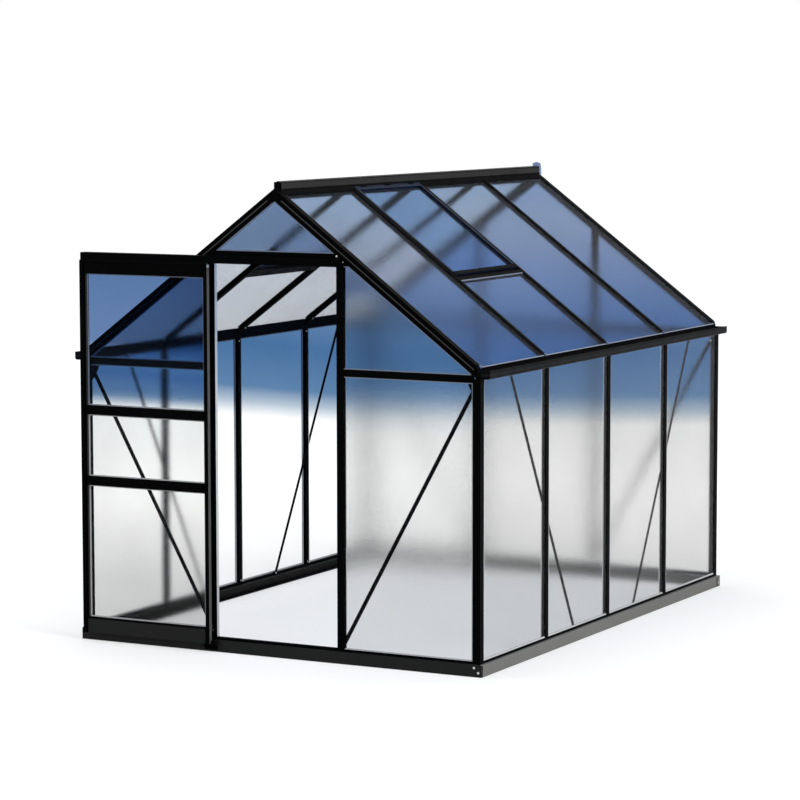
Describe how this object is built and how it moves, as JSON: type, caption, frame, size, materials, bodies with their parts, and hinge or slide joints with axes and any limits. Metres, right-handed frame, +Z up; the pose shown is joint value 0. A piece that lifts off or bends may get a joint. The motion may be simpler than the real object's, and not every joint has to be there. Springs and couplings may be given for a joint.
{
  "type": "polycarbonate greenhouse",
  "caption": "Small gabled hobby greenhouse: slim black metal frame, clear polycarbonate sheets, base rail, gutters, roof vents and a sliding door hung from a track past the front gable.",
  "frame": {"origin": "centre of the whole outline, on the ground", "axes": "+X to the right across the gables, the front gable with the door faces -Y, +Z up"},
  "size_m": [1.984, 2.5954, 2.0061],
  "materials": {
    "frame_black": "satin",
    "base_black": "satin",
    "gutter_black": "satin",
    "ridge_grey": "satin",
    "end_cap_grey": "matte",
    "vent_dark_blue": "satin",
    "brace_black": "satin",
    "door_black": "satin",
    "roof_sheet": "clear polycarbonate, bluish",
    "wall_sheet": "clear polycarbonate",
    "door_sheet": "clear polycarbonate",
    "roller_steel": "satin"
  },
  "bodies": {
    "house": {"base_front": "base_black", "base_back": "base_black", "base_left": "base_black", "base_right": "base_black", "gable_sills": "frame_black", "wall_sills": "frame_black", "corner_posts_front": "frame_black", "corner_posts_back": "frame_black", "door_posts": "frame_black", "back_posts": "frame_black", "studs_left": "frame_black", "studs_right": "frame_black", "gutter_left": "gutter_black", "gutter_right": "gutter_black", "rafters_front": "frame_black", "rafters_back": "frame_black", "roof_bars_left": "frame_black", "roof_bars_right": "frame_black", "ridge_beam": "frame_black", "ridge_cap": "ridge_grey", "ridge_end_cap": "end_cap_grey", "door_header": "frame_black", "front_rails": "frame_black", "back_rails": "frame_black", "gable_braces": "brace_black", "wall_braces": "brace_black", "vent_sills": "frame_black", "vent_frame_left": "vent_dark_blue", "vent_frame_right": "vent_dark_blue", "vent_panes": "roof_sheet", "roof_panes_left": "roof_sheet", "roof_panes_right": "roof_sheet", "wall_panes_left": "wall_sheet", "wall_panes_right": "wall_sheet", "front_panes": "wall_sheet", "back_panes": "wall_sheet", "door_track": "frame_black", "door_guide": "frame_black"},
    "door": {"door_stiles": "door_black", "door_top_rail": "door_black", "door_mid_rails": "door_black", "door_bottom_rail": "door_black", "door_panes": "door_sheet", "door_rollers": "roller_steel"}
  },
  "joints": [
    {"name": "door_slide", "type": "slide", "parent": "house", "child": "door", "axis": [1, 0, 0], "range_m": [0, 0.622]}
  ]
}
